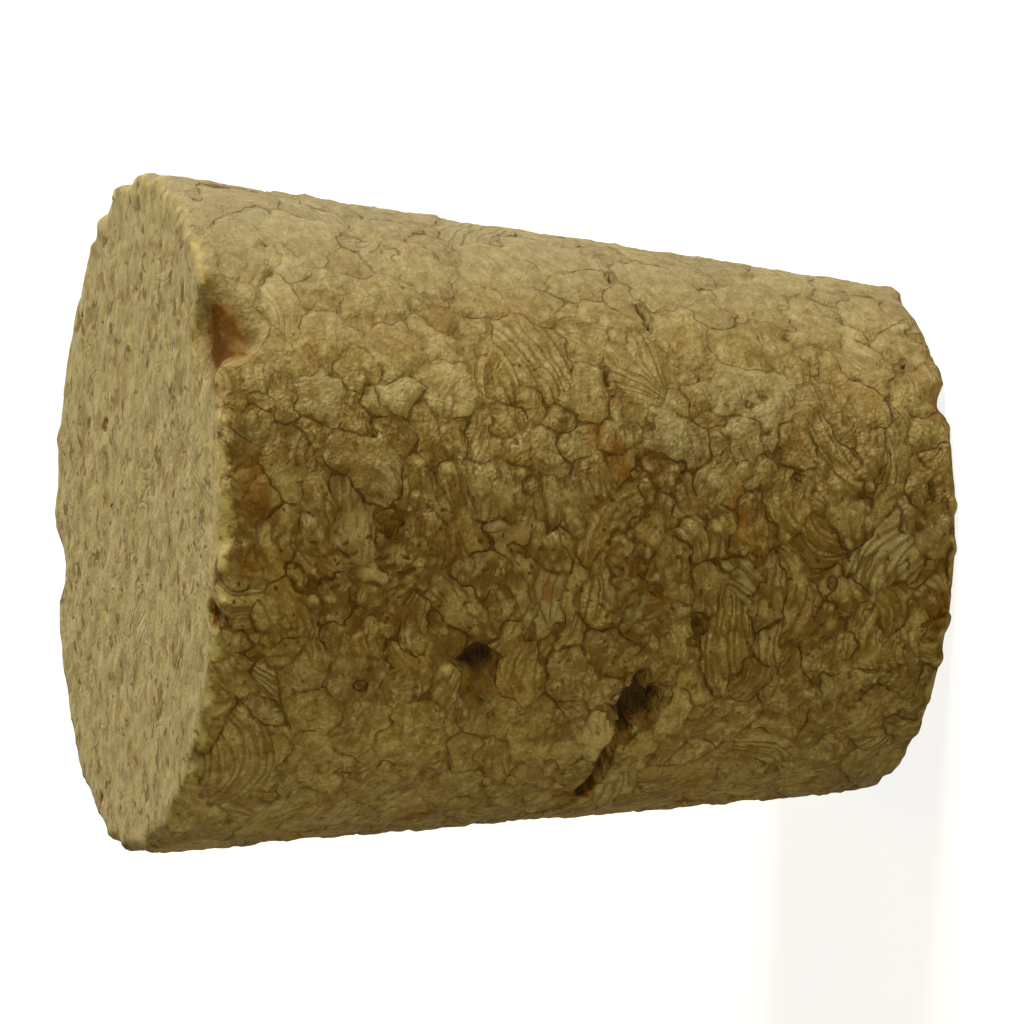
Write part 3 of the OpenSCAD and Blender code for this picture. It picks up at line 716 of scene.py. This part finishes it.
class Nodes:
    """A short way to write the nodes of a material or a world."""

    def __init__(self, owner):
        owner.use_nodes = True
        self.tree = owner.node_tree
        self.tree.nodes.clear()

    def new(self, kind, **settings):
        node = self.tree.nodes.new(kind)
        for name, value in settings.items():
            setattr(node, name, value)
        return node

    def link(self, value, socket):
        """Feeds a socket from another one or with a fixed value."""
        if isinstance(value, bpy.types.NodeSocket):
            self.tree.links.new(value, socket)
        elif value is not None:
            socket.default_value = value

    def attribute(self, name):
        return self.new("ShaderNodeAttribute", attribute_type="GEOMETRY", attribute_name=name)

    def math(self, way, a, b=None):
        node = self.new("ShaderNodeMath", operation=way)
        self.link(a, node.inputs[0])
        self.link(b, node.inputs[1])
        return node.outputs[0]

    def times(self, *values):
        """The product of two values or more."""
        product = values[0]
        for value in values[1:]:
            product = self.math("MULTIPLY", product, value)
        return product

    def ramp(self, value, low, high, start=0.0, end=1.0, kind="SMOOTHSTEP"):
        """From start, where the value is low, to end, where it is high."""
        node = self.new("ShaderNodeMapRange", interpolation_type=kind)
        for item, socket in zip((value, low, high, start, end), node.inputs):
            self.link(item, socket)
        return node.outputs[0]

    def mix(self, share, a, b):
        node = self.new("ShaderNodeMix", data_type="RGBA")
        self.link(share, node.inputs["Factor"])
        self.link(a, node.inputs[6])
        self.link(b, node.inputs[7])
        return node.outputs[2]

    def noise(self, vector, scale, detail, rough=0.55, bend=0.0):
        node = self.new("ShaderNodeTexNoise")
        self.link(vector, node.inputs["Vector"])
        node.inputs["Scale"].default_value = scale
        node.inputs["Detail"].default_value = detail
        node.inputs["Roughness"].default_value = rough
        node.inputs["Distortion"].default_value = bend
        return node.outputs["Fac"]

    def noise_colour(self, vector, scale, detail):
        """Three noises at once, about a middle of none, for bending what is drawn with a vector."""
        node = self.new("ShaderNodeTexNoise")
        self.link(vector, node.inputs["Vector"])
        node.inputs["Scale"].default_value = scale
        node.inputs["Detail"].default_value = detail
        return self.sum(node.outputs["Color"], (-0.5, -0.5, -0.5))

    def cells(self, feature, vector):
        node = self.new("ShaderNodeTexVoronoi", feature=feature)
        self.link(vector, node.inputs["Vector"])
        node.inputs["Scale"].default_value = 1.0
        return node

    def sum(self, a, b):
        node = self.new("ShaderNodeVectorMath", operation="ADD")
        self.link(a, node.inputs[0])
        self.link(b, node.inputs[1])
        return node.outputs[0]

    def scaled(self, vector, x, y, z):
        node = self.new("ShaderNodeVectorMath", operation="MULTIPLY")
        self.link(vector, node.inputs[0])
        node.inputs[1].default_value = (x, y, z)
        return node.outputs[0]

    def split(self, vector):
        node = self.new("ShaderNodeSeparateXYZ")
        self.link(vector, node.inputs[0])
        return node.outputs


# Colours of the side
SKIN_LOW, SKIN_HIGH = paint(162, 139, 82), paint(186, 165, 108)
GRIT, SAND = paint(116, 90, 42), paint(112, 84, 34)
PALE, DARK, GREY, TAN = paint(200, 180, 128), paint(118, 90, 38), paint(152, 144, 106), paint(150, 108, 36)
GRIME_AND_SHADE, CREVICE, RING, SPECK = paint(112, 80, 22), paint(96, 66, 16), paint(108, 78, 26), paint(84, 52, 10)
# Painted sheen: the paler, greyer colour that the side towards the key lamp turns to.
PAINTED_SHEEN = paint(174, 162, 130)
# Colours of the flat ends
FACE_LOW, FACE_HIGH = paint(175, 153, 89), paint(198, 176, 112)
FLECK, GREY_FLECK, DASH = paint(144, 106, 44), paint(156, 148, 104), paint(122, 84, 30)
# Colours of stains, outlines and the insides of holes, with painted shadow and shade among them
RUST, STREAK_AND_SHADOW, CRACK_SHADE, OUTLINE = paint(134, 86, 18), paint(88, 50, 0), paint(50, 34, 10), paint(82, 52, 10)
# The deepest colour of holes is painted shade.
WALL_LOW, WALL_HIGH, DEEP_SHADE = paint(84, 58, 18), paint(120, 88, 34), paint(44, 27, 9)

RING_PERIOD = 0.45  # from one growth line to the next, in mm


def shaded_and_soiled(n, mm):
    """How much painted shade and dirt the skin gets, up to 1.15: least on the +X side, which faces the key
    lamp, most on the dim middle of the side, and less on the lowest part. It deepens the dark marks as
    painted shade in the recesses that the light leaves dim.
    """
    high_side = n.split(mm)[0]
    shade_and_dirt = n.ramp(high_side, -1.0, 9.5, 1.15, 0.35)
    return n.math("MINIMUM", shade_and_dirt, n.ramp(high_side, -9.5, -2.0, 0.66, 1.15))


def crumbly(n, mm, shift, looks, turned, shade_and_dirt):
    """Gaps between crumbs in patches where the granules have no look of their own."""
    stripes, light, grey = looks
    plain = n.ramp(n.math("ADD", light, n.math("ADD", grey, stripes)), 1.1, 0.25)
    patches = n.ramp(n.noise(mm, 0.36, 1.0, 0.6), 0.36, 0.54)
    crumbs = n.cells("F1", n.sum(n.scaled(mm, 2.3, 2.3, 2.3), n.scaled(shift, 1.6, 1.6, 1.6)))
    return n.times(n.ramp(crumbs.outputs["Distance"], 0.25, 0.75), patches, plain, turned, shade_and_dirt)


def gritty(n, mm, shift, shade_and_dirt):
    """The fine grain."""
    grit = n.cells("F1", n.sum(n.scaled(mm, 5.4, 5.4, 5.4), n.scaled(shift, 2.2, 2.2, 2.2)))
    return n.times(n.ramp(grit.outputs["Distance"], 0.20, 0.75), n.ramp(shade_and_dirt, 0.35, 1.0, 0.6, 1.0))


def creased(n, grain, shift, broad, turned, shade_and_dirt):
    """Creases between the long plates within a granule."""
    plates = n.sum(n.scaled(grain, 2.2, 0.50, 1.0), n.scaled(shift, 0.9, 0.5, 0.0))
    edge = n.cells("DISTANCE_TO_EDGE", plates).outputs["Distance"]
    return n.times(n.ramp(edge, 0.0, 0.20, 1.0, 0.0), n.ramp(broad, -0.16, 0.05), turned, shade_and_dirt)


def ringed(n, grain, stripes, broad, shade_and_dirt):
    """Growth lines along a granule, which drift a little."""
    drift = n.noise(n.scaled(grain, 1.1, 0.3, 1.0), 1.0, 1.0, 0.5)
    sway = n.math("MULTIPLY", n.math("SUBTRACT", drift, 0.5), 1.5)
    phase = n.math("MULTIPLY", n.math("ADD", n.split(grain)[0], sway), 2 * math.pi / RING_PERIOD)
    whole = n.math("MAXIMUM", n.ramp(broad, -0.12, 0.08, 0.15, 1.0), n.ramp(stripes, 0.75, 1.0))
    return n.times(n.ramp(n.math("SINE", phase), 0.1, 1.0), n.ramp(stripes, 0.0, 1.0, 0.0, 1.0, "LINEAR"),
                   whole, n.ramp(shade_and_dirt, 0.35, 1.0, 0.7, 1.0))


def outlined(n, seam, wave, broad, turned, shade_and_dirt):
    """The granules' outlines, now wider and now narrower."""
    line = n.ramp(seam, 0.0, n.ramp(wave, -0.14, 0.14, 0.03, 0.12), 1.0, 0.0)
    return n.times(line, n.ramp(broad, -0.10, 0.08, 0.25, 1.0), n.ramp(turned, 0.0, 1.0, 0.1, 1.0),
                   n.ramp(shade_and_dirt, 0.35, 1.0, 0.6, 1.0))


def shade_and_grime(n, mm, seam, swing, light, turned, shade_and_dirt):
    """Painted shade in a soft band beside the outlines, and dirt in patches; less of both on light granules.
    """
    # Painted shade: a soft dark band beside each outline.
    halo = n.times(n.ramp(seam, 0.0, 0.28, 1.0, 0.0), n.ramp(swing, -0.14, 0.10), turned)
    patches = n.ramp(n.noise(mm, 0.95, 1.0, 0.65), 0.51, 0.65, 0.0, 0.8)
    return n.times(n.math("MAXIMUM", halo, patches), shade_and_dirt, n.ramp(light, 0.2, 0.9, 1.0, 0.3))


def relief(n, mm, grain, looks, seam, turned):
    """What stands up and what is sunk on the cork's skin, each from 0 to 1, by name."""
    stripes, light, _ = looks
    shift = n.noise_colour(mm, 1.7, 1.0)
    wave, swing = n.split(shift)[:2]
    broad = n.split(n.noise_colour(mm, 0.8, 1.0))
    # Painted shade and dirt by side; it scales most of the dark marks below.
    shade_and_dirt = shaded_and_soiled(n, mm)
    specks = n.times(n.ramp(n.noise(mm, 2.6, 1.0, 0.6), 0.36, 0.27), shade_and_dirt)
    return {
        "lumps": n.noise(mm, 1.8, 2.0, 0.55),
        "grit": gritty(n, mm, shift, shade_and_dirt),
        "gaps": crumbly(n, mm, shift, looks, turned, shade_and_dirt),
        "crease": creased(n, grain, shift, broad[0], turned, shade_and_dirt),
        "rings": ringed(n, grain, stripes, broad[1], shade_and_dirt),
        "hairline": outlined(n, seam, wave, broad[2], turned, shade_and_dirt),
        "specks": specks,
        "grime_and_shade": shade_and_grime(n, mm, seam, swing, light, turned, shade_and_dirt),
        "shift": shift,
        "shade_and_dirt": shade_and_dirt,
    }


def skin_colour(n, mm, looks, part):
    """The colour of the round skin, pale where it stands up and brown where it is sunk, partly its own tone
    and partly painted shade in the hollows; painted sheen on the side towards the key lamp.
    """
    _, light, grey = looks
    # Darker where the lumps are low: the cork's brown together with painted shade in the hollows.
    colour = n.mix(n.ramp(part["lumps"], 0.34, 0.62), SKIN_LOW, SKIN_HIGH)
    # Darker between the fine grains: partly their brown, partly painted shade.
    colour = n.mix(n.times(part["grit"], 0.40), colour, GRIT)
    sand = n.ramp(n.noise(mm, 6.5, 1.0, 0.7), 0.58, 0.40, 0.0, 0.42)
    colour = n.mix(n.times(sand, n.ramp(part["shade_and_dirt"], 0.35, 1.0, 0.5, 1.0)), colour, SAND)
    colour = n.mix(n.ramp(light, 0.0, 1.0, 0.0, 0.38), colour, PALE)
    colour = n.mix(n.ramp(light, 0.0, -0.9, 0.0, 0.50), colour, DARK)
    colour = n.mix(n.times(grey, 0.50), colour, GREY)
    colour = n.mix(n.ramp(n.noise(mm, 0.5, 1.0), 0.52, 0.70, 0.0, 0.30), colour, TAN)
    # Gaps and creases take the crevice colour, partly the cork's brown and partly painted shade; rings and
    # specks are the cork's own marks.
    for name, most, shade in (("grime_and_shade", 0.62, GRIME_AND_SHADE), ("gaps", 0.72, CREVICE), ("crease", 0.70, CREVICE),
                              ("rings", 0.62, RING), ("specks", 0.75, SPECK)):
        colour = n.mix(n.times(part[name], most), colour, shade)
    # Painted sheen: towards the +X side, which faces the key lamp, the colour turns paler and greyer.
    return n.mix(n.ramp(n.split(mm)[0], 6.5, 13.0, 0.0, 0.42), colour, PAINTED_SHEEN)


def sawn_colour(n, mm, shift):
    """The colour of the flat ends: pale, with short darker dashes and flecks."""
    face = n.mix(n.ramp(n.noise(mm, 1.6, 1.0, 0.6), 0.36, 0.64), FACE_LOW, FACE_HIGH)
    flecks = n.cells("F1", n.sum(n.scaled(mm, 1.6, 1.6, 1.6), n.scaled(shift, 1.6, 1.6, 1.6)))
    fleck_r, fleck_g, _ = n.split(flecks.outputs["Color"])
    face = n.mix(n.times(n.ramp(fleck_r, 0.78, 0.88), 0.55), face, FLECK)
    face = n.mix(n.times(n.ramp(fleck_g, 0.76, 0.88), 0.20), face, GREY_FLECK)
    return n.mix(n.ramp(n.noise(mm, 1.5, 1.0, 0.6, 0.8), 0.41, 0.30, 0.0, 0.90), face, DASH)


def stained(n, colour, stain_and_shade, sunk, part):
    """Rust-brown stains, darkest at their cores, with painted shadow at the big chip and painted shade in the
    crack; the granules' outlines over them; and the holes' brown walls, with painted shade deepest in them.
    """
    rust = n.times(stain_and_shade, n.ramp(part["lumps"], 0.36, 0.60, 0.3, 1.0))
    colour = n.mix(n.times(rust, 0.75), colour, RUST)
    colour = n.mix(n.times(part["hairline"], 0.76), colour, OUTLINE)
    # Hole walls: the cork's brown, turning to painted shade deepest in the holes.
    walls = n.mix(n.ramp(part["lumps"], 0.38, 0.62), WALL_LOW, WALL_HIGH)
    walls = n.mix(n.ramp(sunk, 0.45, 1.0), walls, DEEP_SHADE)
    colour = n.mix(n.ramp(sunk, 0.05, 0.50, 0.0, 0.90), colour, walls)
    # Stain cores darken to a streak: the cork's rust, and at the big chip painted shadow under its rim.
    streak = n.times(n.ramp(stain_and_shade, 0.80, 1.50, 0.0, 0.88), n.ramp(sunk, 0.45, 0.70, 1.0, 0.0))
    colour = n.mix(streak, colour, STREAK_AND_SHADOW)
    # Painted shade: past 1.6, along the crack, the colour turns nearly black.
    return n.mix(n.ramp(stain_and_shade, 1.60, 2.10, 0.0, 0.90), colour, CRACK_SHADE)


def bumps(n, sawn, part):
    """The height in mm of what is too fine for the mesh, as a bent normal."""
    height = n.times(part["lumps"], 0.13)
    for name, deep in (("grit", 0.035), ("gaps", 0.09), ("rings", 0.06), ("hairline", 0.09)):
        height = n.math("SUBTRACT", height, n.times(part[name], deep))
    height = n.times(height, n.ramp(sawn, 0.0, 1.0, 1.0, 0.25), n.ramp(part["shade_and_dirt"], 0.35, 1.0, 0.7, 1.0))
    bump = n.new("ShaderNodeBump")
    bump.inputs["Strength"].default_value = 1.0
    bump.inputs["Distance"].default_value = 0.001
    n.link(height, bump.inputs["Height"])
    return bump.outputs["Normal"]


def cork_material():
    material = bpy.data.materials.new("pressed_cork")
    n = Nodes(material)
    place = n.new("ShaderNodeTexCoord").outputs["Object"]
    mm = n.scaled(place, 1000, 1000, 1000)
    grain = n.attribute("grain").outputs["Vector"]
    looks = n.split(n.attribute("looks").outputs["Vector"])
    seam, sunk, stain_and_shade, sawn = (n.attribute(name).outputs["Fac"] for name in ("seam", "sunk", "stain_and_shade", "sawn"))
    part = relief(n, mm, grain, looks, seam, n.math("SUBTRACT", 1.0, sawn))

    colour = skin_colour(n, mm, looks, part)
    colour = n.mix(n.times(sawn, 0.92), colour, sawn_colour(n, mm, part["shift"]))
    colour = stained(n, colour, stain_and_shade, sunk, part)

    shader = n.new("ShaderNodeBsdfPrincipled")
    n.link(colour, shader.inputs["Base Color"])
    n.link(bumps(n, sawn, part), shader.inputs["Normal"])
    shader.inputs["Roughness"].default_value = 0.78
    shader.inputs["Specular IOR Level"].default_value = 0.10
    n.link(shader.outputs[0], n.new("ShaderNodeOutputMaterial").inputs["Surface"])
    return material


def make_stopper():
    piece = bpy.data.objects.new("cork_stopper", stopper_mesh())
    bpy.context.scene.collection.objects.link(piece)
    piece.data.materials.append(cork_material())
    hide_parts("stopper")
    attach(piece, "root")


# --- Camera, floor and light ---
CAMERA_PLACE = (0.56, -314.24, 111.31)  # in mm
CAMERA_RIGHT = (0.03490, -0.29186, -0.95582)
CAMERA_UP = (0.99939, 0.01019, 0.03338)
CAMERA_BACK = (0.0, -0.95641, 0.29204)
CAMERA_LENS, CAMERA_SENSOR = 287.3, 36.0  # in mm
# Lamps: the way to them, distance and size in m, level (1 shows a colour as it is written), colour
LAMPS = {
    "key": ((0.87, -0.05, 0.49), 0.50, 0.18, 1.17, (0.94, 0.97, 1.0)),
    "bounce": ((-0.28, -0.95, 0.12), 0.40, 0.20, 0.46, (1.0, 0.98, 0.62)),
    "back": ((0.10, 0.98, 0.14), 0.50, 0.30, 0.45, (1.0, 0.97, 0.86)),
}
FLOOR_R, FLOOR_SIDES = 0.9, 64  # in m
FLOOR_Z = -0.00002  # just under what stands on it
FLOOR_COLOUR = (0.50, 0.44, 0.30, 1.0)
FLOOR_GLOW = 0.85  # seen by the camera alone
ROOM_COLOUR, ROOM_STRENGTH = (1.0, 0.85, 0.45, 1.0), 0.045


def make_camera():
    """The photograph's own view: the stopper seen from its side, axis across the frame."""
    data = bpy.data.cameras.new("camera")
    data.sensor_width = CAMERA_SENSOR
    data.lens = CAMERA_LENS
    data.clip_start, data.clip_end = 0.01, 20.0
    camera = bpy.data.objects.new("camera", data)
    bpy.context.scene.collection.objects.link(camera)
    turn = Matrix((CAMERA_RIGHT, CAMERA_UP, CAMERA_BACK)).transposed().to_4x4()
    camera.matrix_world = Matrix.Translation(Vector(CAMERA_PLACE) * 0.001) @ turn
    bpy.context.scene.camera = camera


def make_lamp(name, way, distance, size, level, colour):
    """A soft round lamp, turned to the stopper's middle."""
    data = bpy.data.lights.new(name, "AREA")
    data.shape = "DISK"
    data.size = size
    data.energy = level * math.pi ** 2 * distance ** 2
    data.color = colour
    lamp = bpy.data.objects.new(name, data)
    bpy.context.scene.collection.objects.link(lamp)
    way = Vector(way).normalized()
    middle = Vector((0, 0, LENGTH / 2 * 0.001))
    lamp.location = middle + way * distance
    lamp.rotation_euler = way.to_track_quat("Z", "Y").to_euler()


def seen_directly(n):
    """1 for what the camera sees itself, or in a gloss or through glass."""
    path = n.new("ShaderNodeLightPath")
    seen = n.math("MAXIMUM", path.outputs["Is Camera Ray"], path.outputs["Is Glossy Ray"])
    return n.math("MAXIMUM", seen, path.outputs["Is Transmission Ray"])


def make_floor():
    """A pale round floor. To the camera it is white, with the stopper's shadow on it."""
    turns = [2 * math.pi * k / FLOOR_SIDES for k in range(FLOOR_SIDES)]
    mesh = bpy.data.meshes.new("floor")
    rim = [(FLOOR_R * math.cos(t), FLOOR_R * math.sin(t), FLOOR_Z) for t in turns]
    mesh.from_pydata(rim, [], [list(range(FLOOR_SIDES))])
    floor = bpy.data.objects.new("floor", mesh)
    bpy.context.scene.collection.objects.link(floor)
    material = bpy.data.materials.new("pale_floor")
    n = Nodes(material)
    matt = n.new("ShaderNodeBsdfDiffuse")
    matt.inputs["Color"].default_value = FLOOR_COLOUR
    glow = n.new("ShaderNodeEmission")
    glow.inputs["Color"].default_value = (1.0, 1.0, 1.0, 1.0)
    n.link(n.times(seen_directly(n), FLOOR_GLOW), glow.inputs["Strength"])
    both = n.new("ShaderNodeAddShader")
    n.link(matt.outputs[0], both.inputs[0])
    n.link(glow.outputs[0], both.inputs[1])
    n.link(both.outputs[0], n.new("ShaderNodeOutputMaterial").inputs["Surface"])
    mesh.materials.append(material)


def make_world():
    """A dim warm room, which the camera sees as white."""
    world = bpy.data.worlds.new("room")
    bpy.context.scene.world = world
    n = Nodes(world)
    white = n.new("ShaderNodeBackground")
    white.inputs["Strength"].default_value = 1.0
    dim = n.new("ShaderNodeBackground")
    dim.inputs["Color"].default_value = ROOM_COLOUR
    dim.inputs["Strength"].default_value = ROOM_STRENGTH
    both = n.new("ShaderNodeMixShader")
    n.link(seen_directly(n), both.inputs[0])
    n.link(dim.outputs[0], both.inputs[1])
    n.link(white.outputs[0], both.inputs[2])
    n.link(both.outputs[0], n.new("ShaderNodeOutputWorld").inputs["Surface"])


def main():
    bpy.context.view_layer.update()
    scene = bpy.context.scene
    scene.view_settings.view_transform = "Standard"
    make_stopper()
    make_floor()
    make_camera()
    for name, settings in LAMPS.items():
        make_lamp(name, *settings)
    make_world()


main()
